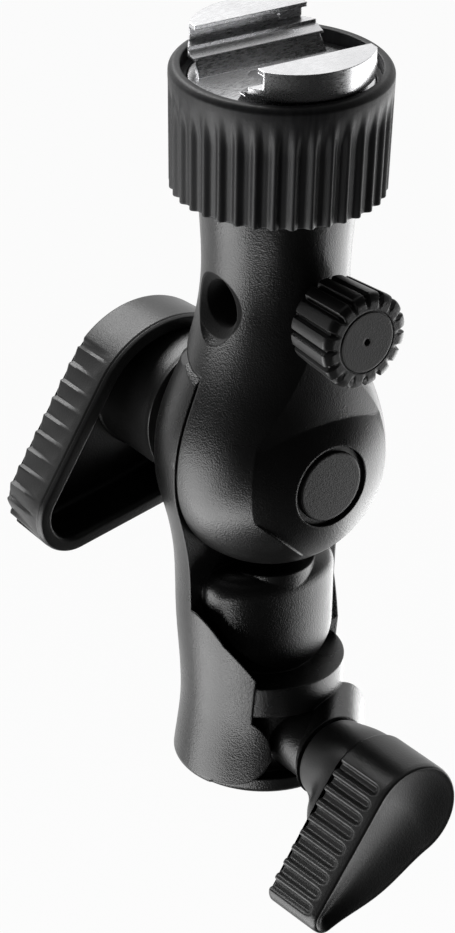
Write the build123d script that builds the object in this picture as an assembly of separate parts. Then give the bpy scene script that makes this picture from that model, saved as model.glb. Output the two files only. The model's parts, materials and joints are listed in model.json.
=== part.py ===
from build123d import *
import math
import os

# Camera tilt head, millimetres. The origin is the centre of the stand socket's mouth, +Z is up,
# and the tilt axis runs along X. The drop-in shoe is at the top, in its open state.

# Clearances
running_gap = 0.05
thread_gap = 0.06
slide_gap = 0.1
loose_gap = 0.3
overrun = 30.0

# Heights above the socket's mouth, and rises above the tilt axis
clamp_height = 10.0
tilt_height = 70.6
umbrella_rise = 35.8
collar_rise = 83.6

# Turned outline that the base and the head share; drops are measured down from the tilt axis
foot_radius = 18.0
foot_round = 1.8
waist_radius = 16.9
waist_height = 13.0
hip_radius = 18.2
hip_drop = 36.6
brow_radius = 19.2
brow_drop = 20.6
flank_radius = 21.2
flank_drop = 11.6
globe_radius = 23.2
shoulder_radius = 18.3
shoulder_rise = 19.3
throat_radius = 14.7
throat_rise = 40.0
neck_top_radius = 15.8

# Stand socket and its clamp
stud_radius = 8.0
stud_gap = 0.1
socket_depth = 34.0
liner_wall = 2.1
liner_length = 22.0
clamp_thread_radius = 4.0
clamp_pitch = 1.25
clamp_insert_radius = 5.6
clamp_insert_length = 7.0
clamp_pad_radius = 3.7
clamp_pad_length = 3.2
clamp_pad_setback = 0.5
clamp_boss_root_radius = 8.8
clamp_boss_root_reach = 12.0
clamp_boss_shift = 8.5
clamp_boss_tube_radius = 7.2
clamp_boss_radius = 8.7
clamp_boss_reach = 22.8

# Front of the base: barrel with its band and shelf, nose, and a side panel on either side
barrel_radius = 14.0
band_radius = 16.4
band_width = 6.5
shelf_height = 24.0
foot_ring_height = 3.4
foot_ring_radius = 17.4
foot_ring_round = 1.4
core_radius = 9.7
nose_width = 31.2
nose_reach = 9.8
nose_round = 17.1
nose_drop = 29.1
nose_top_round = 4.5
saddle_gap = 0.9
lobe_radius = 8.1
lobe_height = 9.8
lobe_edge = 8.8
left_panel_edge = 11.8
left_panel_rise = 26.6
left_shoulder_edge = 16.3
left_shoulder_drop = 36.8
left_panel_drop = 29.6
right_panel_reach = 2.1
right_panel_rise = 27.0
right_panel_drop = 34.6

# Ear of the base and the tilt joint
joint_gap = 0.8
ear_reach = 15.2
ear_top_radius = 26.3
ear_edge_radius = 21.5
ear_edge_reach = 12.0
ear_face_radius = 24.0
underside_gap = 1.0
tilt_bolt_radius = 4.0
tilt_pitch = 1.25
tilt_bolt_reach = 36.0
hex_flats = 13.0
bolt_head_height = 5.0
bushing_wall = 2.0
friction_ring_outer = 15.0
friction_ring_inner = 7.5
friction_ring_thickness = 2.0
bolt_washer_radius = 8.0
bolt_washer_thickness = 1.2
thrust_washer_radius = 11.5
thrust_washer_thickness = 1.2

# Domed face of the head and its cap
face_reach = 20.0
cap_hole_radius = 8.6
cap_radius = 7.4
cap_height = 1.9
cap_flange_thickness = 1.0
face_edge_radius = 17.0
face_edge_reach = 15.9
face_bulge = 0.3
face_fade_rise = 35.2
face_corner_reach = 14.4
face_corner_turn = -131.7
seam_turn = 30.0

# Large tilt knob, a hollow teardrop
tilt_knob_radius = 20.6
tilt_knob_tip_radius = 8.8
tilt_knob_length = 29.4
tilt_knob_shift = 4.0
tilt_knob_angle = -145.4
tilt_knob_rim = 28.0
tilt_knob_depth = 13.4
tilt_knob_wall = 2.6
tilt_knob_web = 3.0
tilt_knob_round = 1.4
tilt_hub_radius = 15.6
tilt_hub_reach = 20.0
tilt_hub_neck_radius = 11.5
tilt_nut_height = 6.5
tilt_knob_cap_radius = 8.0
tilt_knob_cap_thickness = 1.6
tilt_rib_count = 11
tilt_rib_pitch = 3.9
tilt_rib_start = -4.2
tilt_rib_radius = 1.25
tilt_rib_length = 11.0

# Clamp knob, a solid teardrop wing on a tapered hub
clamp_knob_radius = 10.7
clamp_knob_tip_radius = 3.1
clamp_knob_length = 27.4
clamp_knob_angle = -141.4
clamp_knob_depth = 16.0
clamp_knob_round = 1.0
clamp_hub_gap = 0.7
clamp_hub_root_radius = 8.5
clamp_hub_radius = 10.1
clamp_hub_length = 10.6
clamp_hub_lean = 7.0
clamp_screw_hold = 12.0
clamp_rib_count = 9
clamp_rib_pitch = 3.4
clamp_rib_start = -1.0
clamp_rib_radius = 1.5
clamp_rib_depth = 0.9
clamp_rib_margin = 1.3

# Umbrella bore and its knob
umbrella_radius = 5.0
umbrella_mouth_radius = 6.8
umbrella_lead = 1.8
umbrella_thread_radius = 2.5
umbrella_pitch = 0.8
umbrella_insert_radius = 4.2
umbrella_insert_length = 7.0
umbrella_pad_radius = 2.3
umbrella_pad_length = 1.8
umbrella_pad_setback = 0.35
umbrella_boss_radius = 5.4
umbrella_boss_reach = 16.2
umbrella_knob_gap = 0.7
umbrella_knob_radius = 10.1
umbrella_knob_back_radius = 9.3
umbrella_knob_depth = 12.4
umbrella_knob_dimple = 0.7
umbrella_screw_hold = 9.0
umbrella_rib_count = 16
umbrella_rib_radius = 1.7
umbrella_rib_depth = 0.9

# Collar
collar_radius = 22.0
collar_foot_radius = 21.4
collar_height = 25.7
collar_bore_radius = 18.4
collar_mouth_radius = 19.6
collar_round = 1.3
collar_rib_count = 36
collar_rib_depth = 0.8
collar_ridge_share = 0.5
collar_rib_fade = 6.5

# Turret, cam ring and guide plate inside the collar
turret_rise = 2.6
cam_thickness = 2.5
cam_hole_radius = 7.2
cam_turn = 75.0
cam_slot_steps = 8
guide_thickness = 2.2
guide_drop = 2.9
guide_screw_count = 3
guide_screw_circle = 4.2
guide_screw_radius = 1.25
guide_screw_head_radius = 2.3
guide_screw_head_height = 1.3
guide_screw_length = 9.0
drag_ring_section = 0.9
drag_ring_height = 6.0
cam_washer_thickness = 0.5
cam_washer_width = 3.0

# Shoe jaws, in their own directions: across the shoe and along it
shoe_yaw = 5.4
shoe_foot_width = 18.6
lip_reach = 11.5
lip_overhang = 2.1
lip_thickness = 0.9
lip_length = 25.5
lip_height = 6.0
groove_height = 2.8
ledge_reach = 10.9
ledge_length = 29.6
jaw_arc_radius = 16.5
jaw_arc_shift = 3.2
skirt_step_reach = 8.6
skirt_step_height = 0.7
skirt_reach = 6.6
key_width = 6.0
key_length = 4.0
jaw_pin_radius = 1.5
jaw_pin_circle = 14.6
jaw_pin_hold = 3.0
land_length = 5.2
land_proud = 0.25

# Values that follow
socket_radius = stud_radius + stud_gap
liner_radius = socket_radius + liner_wall
umbrella_height = tilt_height + umbrella_rise
collar_top = tilt_height + collar_rise
collar_foot = collar_top - collar_height
guide_top = collar_top - guide_drop
guide_foot = guide_top - guide_thickness
cam_top = guide_foot - slide_gap
cam_foot = cam_top - cam_thickness
turret_top = cam_foot - cam_washer_thickness
turret_radius = collar_bore_radius - loose_gap
clamp_pad_tip = socket_radius + clamp_pad_setback
clamp_pad_back = clamp_pad_tip + clamp_pad_length
clamp_hub_start = clamp_boss_reach + clamp_hub_gap
clamp_wing_start = clamp_hub_start + clamp_hub_length
clamp_screw_end = clamp_wing_start + clamp_screw_hold
umbrella_pad_tip = umbrella_radius + umbrella_pad_setback
umbrella_pad_back = umbrella_pad_tip + umbrella_pad_length
umbrella_knob_start = umbrella_boss_reach + umbrella_knob_gap
umbrella_insert_end = umbrella_boss_reach - slide_gap
umbrella_insert_start = umbrella_insert_end - umbrella_insert_length
umbrella_knob_face = umbrella_knob_start + umbrella_knob_depth
saddle_height = tilt_height - globe_radius - saddle_gap
nose_shift = nose_round - nose_width / 2
underside_radius = ear_top_radius + underside_gap
cap_seat = face_reach - cap_height
bolt_head_top = cap_seat - slide_gap
bolt_head_foot = bolt_head_top - bolt_head_height
thrust_washer_back = ear_reach + thrust_washer_thickness
tilt_knob_face = tilt_knob_rim + tilt_knob_depth
jaw_travel = lip_reach + lip_overhang - shoe_foot_width / 2 - slide_gap
cam_rate = jaw_travel / math.radians(cam_turn)
jaw_foot_radius = collar_bore_radius - loose_gap - jaw_arc_shift


def rod_x(radius, x_from, x_to, height=0):
    """Round bar along X between two places, centred at y = 0 and the given height."""
    return extrude(Plane.YZ.offset(x_from) * Pos(0, height) * Circle(radius), x_to - x_from)


def rod_z(radius, z_from, z_to):
    """Round bar about the Z axis between two heights."""
    return extrude(Plane.XY.offset(z_from) * Circle(radius), z_to - z_from)


def block(x_from, x_to, y_half, z_from, z_to):
    """Box that is symmetric about the plane y = 0."""
    middle = ((x_from + x_to) / 2, 0, (z_from + z_to) / 2)
    return Pos(*middle) * Box(x_to - x_from, 2 * y_half, z_to - z_from)


def hex_x(flats, x_from, x_to, height):
    """Hexagonal bar along X with the given width across flats."""
    corner = flats / 2 / math.cos(math.pi / 6)
    section = Plane.YZ.offset(x_from) * Pos(0, height) * RegularPolygon(corner, 6)
    return extrude(section, x_to - x_from)


def turned(points, axis):
    """Solid of revolution of a closed outline of straight lines in the XZ plane."""
    return revolve(make_face(Plane.XZ * Polyline(*points, close=True)), axis)


def teardrop(big_radius, tip_radius, length):
    """Flat teardrop: two circles, the big one at the origin, and their common tangents."""
    lean = math.asin((big_radius - tip_radius) / length)
    up = Vector(math.sin(lean), math.cos(lean))
    down = Vector(math.sin(lean), -math.cos(lean))
    tip = Vector(length, 0)
    sides = Polygon(
        down * big_radius, tip + down * tip_radius, tip + up * tip_radius, up * big_radius, align=None
    )
    return Circle(big_radius) + Pos(length, 0) * Circle(tip_radius) + sides


def polar(radius, angle):
    """Point at a radius and an angle in radians."""
    return Vector(radius * math.cos(angle), radius * math.sin(angle))


def flank_place(big_radius, tip_radius, length, run):
    """Point and outward direction on a teardrop's lower flank, a run from the big tangent point."""
    lean = math.asin((big_radius - tip_radius) / length)
    straight = length * math.cos(lean)
    turn = lean - math.pi / 2
    if run < 0:
        turn += run / big_radius
        point = polar(big_radius, turn)
    elif run <= straight:
        point = polar(big_radius, turn) + polar(run, lean)
    else:
        turn += (run - straight) / tip_radius
        point = Vector(length, 0) + polar(tip_radius, turn)
    return point, math.degrees(turn)


def lower_outline():
    """Half outline of the base's turned body, from the axis round the foot to the globe's height."""
    foot = JernArc((foot_radius - foot_round, 0), (1, 0), foot_round, 90)
    side = Spline(
        (foot_radius, foot_round), (waist_radius, waist_height), (hip_radius, tilt_height - hip_drop),
        (brow_radius, tilt_height - brow_drop), (flank_radius, tilt_height - flank_drop),
        (globe_radius, tilt_height),
        tangents=((waist_radius - foot_radius, waist_height - foot_round), (0, 1)),
    )
    return foot, side


def neck_side():
    """Curve from the globe's widest place up the shoulder and the neck to the collar's foot."""
    return Spline(
        (globe_radius, tilt_height), (shoulder_radius, tilt_height + shoulder_rise),
        (throat_radius, tilt_height + throat_rise), (neck_top_radius, collar_foot),
        tangents=((0, 1), (neck_top_radius - throat_radius, collar_foot - tilt_height - throat_rise)),
    )


def base_envelope():
    """Turned body of the base: foot, waist and hip, and over the tilt axis the ear's own sides."""
    foot, side = lower_outline()
    sides = neck_side()
    axis_points = [(0, collar_foot), (0, 0)]
    closing = Polyline((neck_top_radius, collar_foot), *axis_points, (foot_radius - foot_round, 0))
    return revolve(make_face(Plane.XZ * (Curve() + [foot, side, sides, closing])), Axis.Z)


def head_envelope():
    """Turned body of the head: half globe below the tilt axis, shoulder and neck above it."""
    bottom = (0, tilt_height - globe_radius)
    globe = RadiusArc(bottom, (globe_radius, tilt_height), -globe_radius)
    closing = Polyline((neck_top_radius, collar_foot), (0, collar_foot), bottom)
    return revolve(make_face(Plane.XZ * (Curve() + [globe, neck_side(), closing])), Axis.Z)


def left_panel():
    """Side panel on the -Y side, which wraps to the front and ends below in a round lobe."""
    lobe_across = lobe_edge + lobe_radius
    edge = [
        (-lobe_across, 0), (-lobe_across, lobe_height), (-left_panel_edge, lobe_height),
        (-left_panel_edge, left_panel_rise), (-left_shoulder_edge, tilt_height - left_shoulder_drop),
        (-brow_radius, tilt_height - left_panel_drop),
    ]
    outline = Polygon((-overrun, 0), *edge, (-overrun, tilt_height - left_panel_drop), align=None)
    outline += Pos(-lobe_across, lobe_height) * Circle(lobe_radius)
    return extrude(Plane.YZ.offset(-joint_gap) * outline, overrun)


def right_panel():
    """Side panel on the +Y side, which stops soon past the joint plane."""
    outline = Polygon(
        (-joint_gap, 0), (right_panel_reach, 0), (right_panel_reach, right_panel_rise),
        (-joint_gap, tilt_height - right_panel_drop), align=None,
    )
    return extrude(Plane.XZ * outline, -overrun)


def nose():
    """Rounded tongue under the head: an oval post with a round lower end."""
    oval = Ellipse(nose_reach, nose_width / 2)
    post = extrude(Plane.XY * oval, saddle_height)
    post = fillet(post.faces().sort_by(Axis.Z)[-1].edges(), nose_top_round)
    middle = tilt_height - nose_drop
    tongue = extrude(Plane.YZ.offset(-joint_gap) * Pos(nose_shift, middle) * Circle(nose_round), overrun)
    above = block(-joint_gap, overrun, nose_width / 2, middle, saddle_height)
    return post & (tongue + above)


def clamp_boss():
    """Tube round the clamp screw, and a fairing that leans from its end into the barrel's +Y side."""
    root = Pos(clamp_boss_shift, clamp_height) * Circle(clamp_boss_root_radius)
    end = Pos(0, clamp_height) * Circle(clamp_boss_radius)
    planes = (Plane.YZ.offset(clamp_boss_root_reach), Plane.YZ.offset(clamp_boss_reach))
    fairing = loft([planes[0] * root, planes[1] * end], ruled=True)
    return fairing + rod_x(clamp_boss_tube_radius, 0, clamp_boss_reach, clamp_height)


def ear_top():
    """Domed disc about the tilt axis that closes the ear above it."""
    points = [
        (-joint_gap, 0), (-joint_gap, ear_top_radius), (-joint_gap - ear_edge_reach / 2, ear_top_radius),
        (-ear_edge_reach, (ear_top_radius + ear_edge_radius) / 2), (-ear_reach, ear_edge_radius),
        (-ear_reach, 0),
    ]
    dome = revolve(make_face(Plane.XZ * Polyline(*points, close=True)), Axis.X)
    return Pos(0, 0, tilt_height) * dome


def base_housing():
    """Black moulding with the stand socket, the clamp boss and the ear of the tilt joint."""
    envelope = base_envelope()
    ear = envelope & block(-overrun, -joint_gap, overrun, 0, collar_foot)
    ear = ear & (ear_top() + block(-overrun, -joint_gap, overrun, 0, tilt_height))
    ear -= rod_x(ear_face_radius, -2 * overrun, -ear_reach, tilt_height)
    half = block(-joint_gap, overrun, overrun, 0, saddle_height)
    front = envelope & half
    panels = (front & left_panel()) + (front & right_panel())
    core = rod_z(core_radius, 0, saddle_height) & half
    barrel = rod_z(barrel_radius, 0, shelf_height) + rod_z(band_radius, shelf_height - band_width, shelf_height)
    barrel = barrel & half
    foot = rod_z(foot_ring_radius, 0, foot_ring_height)
    foot = fillet(foot.edges().sort_by(Axis.Z)[0], foot_ring_round) & half
    body = ear + panels + core + barrel + foot + nose() + clamp_boss()
    body -= rod_z(liner_radius, -overrun, liner_length)
    body -= rod_z(socket_radius, 0, socket_depth)
    body -= rod_x(clamp_insert_radius, 0, overrun, clamp_height)
    bushing_radius = tilt_bolt_radius + running_gap + bushing_wall
    body -= rod_x(bushing_radius, -overrun, 0, tilt_height)
    body -= rod_x(friction_ring_outer, -friction_ring_thickness, overrun, tilt_height)
    return body


def spigot_liner():
    """Metal sleeve that lines the stand socket, with a side hole for the clamp pad."""
    sleeve = rod_z(liner_radius, 0, liner_length) - rod_z(socket_radius, -overrun, overrun)
    return sleeve - rod_x(clamp_thread_radius + slide_gap, 0, overrun, clamp_height)


def clamp_insert():
    """Brass threaded insert in the clamp boss."""
    end = clamp_boss_reach - slide_gap
    ring = rod_x(clamp_insert_radius, end - clamp_insert_length, end, clamp_height)
    return ring - rod_x(clamp_thread_radius + thread_gap, 0, overrun, clamp_height)


def pivot_bushing():
    """Plain bearing bush in the ear for the tilt bolt."""
    bore = tilt_bolt_radius + running_gap
    bush = rod_x(bore + bushing_wall, -ear_reach, -friction_ring_thickness, tilt_height)
    return bush - rod_x(bore, -overrun, 0, tilt_height)


def friction_ring():
    """Ring of friction material in the ear, which the head's flat face rests on."""
    ring = rod_x(friction_ring_outer, -friction_ring_thickness, 0, tilt_height)
    return ring - rod_x(friction_ring_inner, -overrun, overrun, tilt_height)


def face_keep():
    """Space under the domed front face: a dome about the tilt axis and a wedge that leans to the neck.

    Past a straight chord at its lower left the globe stays whole, which gives the face its corner.
    """
    edge = (face_edge_reach, face_edge_radius)
    middle = ((face_reach + face_edge_reach) / 2 + face_bulge, (cap_hole_radius + face_edge_radius) / 2)
    arc = ThreePointArc((face_reach, cap_hole_radius), middle, edge)
    slope = (face_reach - face_edge_reach) / (face_edge_radius - cap_hole_radius)
    beyond = (face_edge_reach - overrun * slope, face_edge_radius + overrun)
    rest = Polyline(
        edge, beyond, (-overrun, beyond[1]), (-overrun, 0), (face_reach, 0), (face_reach, cap_hole_radius)
    )
    dome = Rot(seam_turn, 0, 0) * revolve(make_face(Plane.XZ * (Curve() + [arc, rest])), Axis.X)
    lean = Vector(throat_radius - face_reach, 0, face_fade_rise)
    bow = ThreePointArc((face_edge_reach, -face_edge_radius), (face_reach, 0), edge)
    back = Polyline(
        edge, beyond, (-overrun, beyond[1]), (-overrun, -beyond[1]), (beyond[0], -beyond[1]),
        (face_edge_reach, -face_edge_radius),
    )
    section = Plane.XY * make_face(Curve() + [bow, back])
    wedge = extrude(section, lean.length, dir=lean)
    neck = rod_z(globe_radius, face_fade_rise, collar_top)
    beyond_chord = Pos(face_corner_reach + overrun, 0) * Rectangle(2 * overrun, 2 * overrun)
    corner = extrude(Plane.YZ * Rot(0, 0, face_corner_turn) * beyond_chord, overrun)
    return Pos(0, 0, tilt_height) * (dome + wedge + neck + corner)


def turret():
    """Round seat inside the collar: it carries the cam ring, the guide plate and the drag ring."""
    outline = [
        (0, collar_foot), (neck_top_radius, collar_foot), (turret_radius, collar_foot + turret_rise),
        (turret_radius, turret_top), (cam_hole_radius - loose_gap, turret_top),
        (cam_hole_radius - loose_gap, guide_foot), (0, guide_foot),
    ]
    middle = drag_ring_place()
    groove = rod_z(turret_radius, middle - drag_ring_section, middle + drag_ring_section)
    groove -= rod_z(turret_radius - 2 * drag_ring_section + running_gap, 0, collar_top)
    return turned(outline, Axis.Z) - groove


def drag_ring_place():
    """Height of the drag ring's middle."""
    return turret_top - drag_ring_height


def guide_screw_places():
    """Places of the guide plate's screws on their circle."""
    return PolarLocations(guide_screw_circle, guide_screw_count, start_angle=90 + shoe_yaw)


def head_housing():
    """Black moulding of the head: globe, shoulder, neck with the umbrella bore, and turret."""
    body = head_envelope()
    body -= rod_x(underside_radius, -overrun, 0, tilt_height)
    body -= block(-overrun, 0, overrun, 0, tilt_height)
    body = body & face_keep()
    body += turret()
    body += rod_x(umbrella_boss_radius, umbrella_insert_start, umbrella_boss_reach, umbrella_height)
    lead = umbrella_lead
    bore = extrude(Plane.XZ.offset(-overrun) * Pos(0, umbrella_height) * Circle(umbrella_radius), 2 * overrun)
    body -= bore
    for side in (-1, 1):
        seat = Plane(origin=(0, side * throat_radius, umbrella_height), x_dir=(1, 0, 0), z_dir=(0, side, 0))
        mouth = Cone(umbrella_radius, umbrella_mouth_radius + lead, 2 * lead)
        body -= seat * mouth
    body -= rod_x(umbrella_insert_radius, umbrella_insert_start, overrun, umbrella_height)
    body -= rod_x(umbrella_thread_radius + slide_gap, 0, umbrella_insert_start, umbrella_height)
    body -= rod_x(tilt_bolt_radius + running_gap, -overrun, overrun, tilt_height)
    washer_seat = bolt_head_foot - bolt_washer_thickness
    body -= rod_x(bolt_washer_radius + slide_gap, washer_seat, overrun, tilt_height)
    body -= rod_x(cap_hole_radius, cap_seat, overrun, tilt_height)
    for place in guide_screw_places():
        body -= place * rod_z(guide_screw_radius, guide_top - guide_screw_length - slide_gap, guide_foot)
    return body


def bolt_lock_ring():
    """Ring under the cap with the hexagon pocket that keeps the bolt from turning."""
    seat = rod_x(bolt_washer_radius + slide_gap, bolt_head_foot, bolt_head_top, tilt_height)
    return seat - hex_x(hex_flats + 2 * slide_gap, 0, overrun, tilt_height)


def umbrella_insert():
    """Brass threaded insert for the umbrella knob's screw."""
    ring = rod_x(umbrella_insert_radius, umbrella_insert_start, umbrella_insert_end, umbrella_height)
    return ring - rod_x(umbrella_thread_radius + thread_gap, 0, overrun, umbrella_height)


def pivot_cap():
    """Round cover over the bolt's head: a flange in the hole and a smaller raised disc."""
    flange = rod_x(cap_hole_radius - running_gap, cap_seat, cap_seat + cap_flange_thickness, tilt_height)
    disc = rod_x(cap_radius, cap_seat, face_reach, tilt_height)
    return flange + disc


def tilt_bolt():
    """Long hexagon bolt through the joint, held from turning in the head."""
    shank = rod_x(tilt_bolt_radius, -tilt_bolt_reach, bolt_head_foot, tilt_height)
    return shank + hex_x(hex_flats, bolt_head_foot, bolt_head_top, tilt_height)


def bolt_washer():
    """Washer under the tilt bolt's head."""
    ring = rod_x(bolt_washer_radius, bolt_head_foot - bolt_washer_thickness, bolt_head_foot, tilt_height)
    return ring - rod_x(tilt_bolt_radius + running_gap, 0, overrun, tilt_height)


def thrust_washer():
    """Washer between the ear and the tilt knob's hub."""
    ring = rod_x(thrust_washer_radius, -thrust_washer_back, -ear_reach, tilt_height)
    return ring - rod_x(tilt_bolt_radius + running_gap, -overrun, 0, tilt_height)


def knob_sketch(big_radius, tip_radius, length, angle, shift=0):
    """Teardrop turned to its direction in the plane across the knob's axis, and shifted along it."""
    return Rot(0, 0, angle) * Pos(shift, 0) * teardrop(big_radius, tip_radius, length)


def tilt_knob():
    """Hollow teardrop shell with a central hub that holds the nut."""
    way = (tilt_knob_length, tilt_knob_angle, tilt_knob_shift)
    outline = knob_sketch(tilt_knob_radius, tilt_knob_tip_radius, *way)
    shell = extrude(Plane.YZ.offset(-tilt_knob_face) * Pos(0, tilt_height) * outline, tilt_knob_depth)
    shell = fillet(shell.faces().sort_by(Axis.X)[0].edges(), tilt_knob_round)
    inner_radius = tilt_knob_radius - tilt_knob_wall
    inner_tip = tilt_knob_tip_radius - tilt_knob_wall
    hollow = knob_sketch(inner_radius, inner_tip, *way)
    floor = -tilt_knob_face + tilt_knob_web
    shell -= extrude(Plane.YZ.offset(floor) * Pos(0, tilt_height) * hollow, tilt_knob_depth)
    shell += rod_x(tilt_hub_radius, floor, -tilt_hub_reach, tilt_height)
    shell += rod_x(tilt_hub_neck_radius, -tilt_hub_reach, -thrust_washer_back, tilt_height)
    nut_start = tilt_bolt_reach - tilt_nut_height - tilt_pitch
    shell -= rod_x(tilt_bolt_radius + loose_gap, -overrun * 2, 0, tilt_height)
    shell -= hex_x(hex_flats + 2 * slide_gap, -tilt_knob_face, -nut_start, tilt_height)
    pocket_floor = -tilt_knob_face + tilt_knob_cap_thickness
    shell -= rod_x(tilt_knob_cap_radius + running_gap, pocket_floor - overrun, pocket_floor, tilt_height)
    return shell - tilt_ribs()


def tilt_ribs():
    """Wedge grooves along the tilt knob's ribbed flank, deepest at the outer face."""
    sizes = (tilt_knob_radius, tilt_knob_tip_radius, tilt_knob_length)
    tools = []
    for count in range(tilt_rib_count):
        point, turn = flank_place(*sizes, tilt_rib_start + count * tilt_rib_pitch)
        frame = Plane.YZ.offset(-tilt_knob_face) * Pos(0, tilt_height) * Rot(0, 0, tilt_knob_angle)
        spot = frame * Pos(tilt_knob_shift + point.X, point.Y) * Rot(0, 0, turn)
        sink = math.degrees(math.atan(tilt_rib_radius / tilt_rib_length))
        rod = Rot(0, sink, 0) * Cylinder(tilt_rib_radius, 2 * tilt_rib_length)
        tools.append(spot * rod)
    return tools


def tilt_nut():
    """Hexagon nut in the tilt knob's hub."""
    start = tilt_bolt_reach - tilt_nut_height - tilt_pitch
    nut = hex_x(hex_flats, -start - tilt_nut_height, -start, tilt_height)
    return nut - rod_x(tilt_bolt_radius + thread_gap, -overrun * 2, 0, tilt_height)


def tilt_knob_cap():
    """Plain disc that closes the nut's pocket in the tilt knob's outer face."""
    start = tilt_knob_face - tilt_knob_cap_thickness
    return rod_x(tilt_knob_cap_radius, -tilt_knob_face, -start, tilt_height)


def clamp_pad():
    """Pressure pad that bears on the stand's stud."""
    return rod_x(clamp_pad_radius, clamp_pad_tip, clamp_pad_back, clamp_height)


def clamp_screw():
    """Threaded rod of the stand clamp."""
    return rod_x(clamp_thread_radius, clamp_pad_back, clamp_screw_end, clamp_height)


def clamp_hub():
    """Hub behind the wing: a round cone, and a second one that leans towards the wing's tip."""
    start = Plane.YZ.offset(clamp_hub_start) * Pos(0, clamp_height)
    end = Plane.YZ.offset(clamp_wing_start + clamp_knob_round) * Pos(0, clamp_height)
    narrowing = (clamp_knob_radius - clamp_knob_tip_radius) / clamp_knob_length
    leant = Pos(clamp_hub_lean, 0) * Circle(clamp_hub_radius - clamp_hub_lean * narrowing)
    ends = (Circle(clamp_hub_radius), Rot(0, 0, clamp_knob_angle) * leant)
    return [loft([start * Circle(clamp_hub_root_radius), end * outline], ruled=True) for outline in ends]


def clamp_knob():
    """Teardrop wing on a tapered hub, with grip ribs along one flank."""
    outline = knob_sketch(clamp_knob_radius, clamp_knob_tip_radius, clamp_knob_length, clamp_knob_angle)
    wing = extrude(Plane.YZ.offset(clamp_wing_start) * Pos(0, clamp_height) * outline, clamp_knob_depth)
    ends = wing.faces().sort_by(Axis.X)
    wing = fillet(ends[0].edges() + ends[-1].edges(), clamp_knob_round)
    wing = wing - clamp_ribs() + clamp_hub()
    return wing - rod_x(clamp_thread_radius, 0, clamp_screw_end, clamp_height)


def clamp_ribs():
    """Round grooves across one flank of the clamp knob."""
    sizes = (clamp_knob_radius, clamp_knob_tip_radius, clamp_knob_length)
    length = clamp_knob_depth - 2 * clamp_rib_margin
    frame = Plane.YZ.offset(clamp_wing_start + clamp_knob_depth / 2) * Pos(0, clamp_height)
    frame = frame * Rot(0, 0, clamp_knob_angle)
    tools = []
    for count in range(clamp_rib_count):
        point, turn = flank_place(*sizes, clamp_rib_start + count * clamp_rib_pitch)
        spot = frame * Pos(point.X, point.Y) * Rot(0, 0, turn) * Pos(clamp_rib_radius - clamp_rib_depth, 0)
        tools.append(spot * Cylinder(clamp_rib_radius, length))
    return tools


def umbrella_pad():
    """Pressure pad that bears on the umbrella's shaft."""
    return rod_x(umbrella_pad_radius, umbrella_pad_tip, umbrella_pad_back, umbrella_height)


def umbrella_screw():
    """Threaded rod of the umbrella clamp."""
    end = umbrella_knob_start + umbrella_screw_hold
    return rod_x(umbrella_thread_radius, umbrella_pad_back, end, umbrella_height)


def umbrella_knob():
    """Fluted round knob with a small dimple in its face."""
    taper = [
        (umbrella_knob_start, 0), (umbrella_knob_start, umbrella_knob_back_radius),
        (umbrella_knob_face, umbrella_knob_radius), (umbrella_knob_face, 0),
    ]
    knob = turned(taper, Axis.X)
    tools = []
    for count in range(umbrella_rib_count):
        turn = 360 / umbrella_rib_count * count
        out = umbrella_knob_radius + umbrella_rib_radius - umbrella_rib_depth
        spot = Rot(turn, 0, 0) * Pos(umbrella_knob_start, 0, out) * Rot(0, 90, 0)
        tools.append(spot * Cylinder(umbrella_rib_radius, overrun))
    knob -= tools
    knob -= Pos(umbrella_knob_face, 0, 0) * Sphere(umbrella_knob_dimple)
    knob -= rod_x(umbrella_thread_radius, 0, umbrella_knob_start + umbrella_screw_hold)
    return Pos(0, 0, umbrella_height) * knob


def scallops(radius, depth, height):
    """Closed section with as many shallow hollows as the collar has ribs, each between two arcs."""
    step = 2 * math.pi / collar_rib_count
    half_ridge = step * collar_ridge_share / 2
    edges = []
    for count in range(collar_rib_count):
        ridge = [polar(radius, count * step + turn) for turn in (-half_ridge, 0, half_ridge)]
        lowest = polar(radius - depth, (count + 0.5) * step)
        hollow = [ridge[-1], lowest, polar(radius, (count + 1) * step - half_ridge)]
        edges += [ThreePointArc(*ridge), ThreePointArc(*hollow)]
    return Plane.XY.offset(height) * make_face(Curve() + edges)


def lock_collar():
    """Ribbed turning collar; its ribs fade out below the smooth top edge."""
    fade = collar_top - collar_rib_fade
    ribbed = [scallops(collar_foot_radius, collar_rib_depth, collar_foot), scallops(collar_radius, 0, fade)]
    band = rod_z(collar_radius, fade, collar_top)
    band = fillet(band.edges().sort_by(Axis.Z)[-1], collar_round)
    ring = loft(ribbed, ruled=True) + band
    ring -= rod_z(collar_mouth_radius, guide_top, collar_top)
    return ring - rod_z(collar_bore_radius, 0, collar_top)


def spiral_slot(direction):
    """Slot for a jaw pin: its middle line is a spiral that nears the axis at a steady rate."""
    start = math.radians(direction)
    rim_in, rim_out, ends = [], [], []
    half = jaw_pin_radius + slide_gap
    for step in range(cam_slot_steps + 1):
        turn = math.radians(cam_turn) * step / cam_slot_steps
        radius = jaw_pin_circle - cam_rate * turn
        angle = start - turn
        middle = polar(radius, angle)
        outward = polar(1, angle)
        aside = polar(1, angle + math.pi / 2)
        normal = (outward * radius - aside * cam_rate).normalized()
        rim_in.append(middle - normal * half)
        rim_out.append(middle + normal * half)
        if step in (0, cam_slot_steps):
            ends.append(middle)
    far_end, near_end = Line(rim_out[-1], rim_in[-1]), Line(rim_in[0], rim_out[0])
    sides = [Spline(*rim_out), far_end, Spline(*reversed(rim_in)), near_end]
    slot = make_face(Curve() + sides)
    for end in ends:
        slot += Pos(end.X, end.Y) * Circle(half)
    return slot


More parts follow.
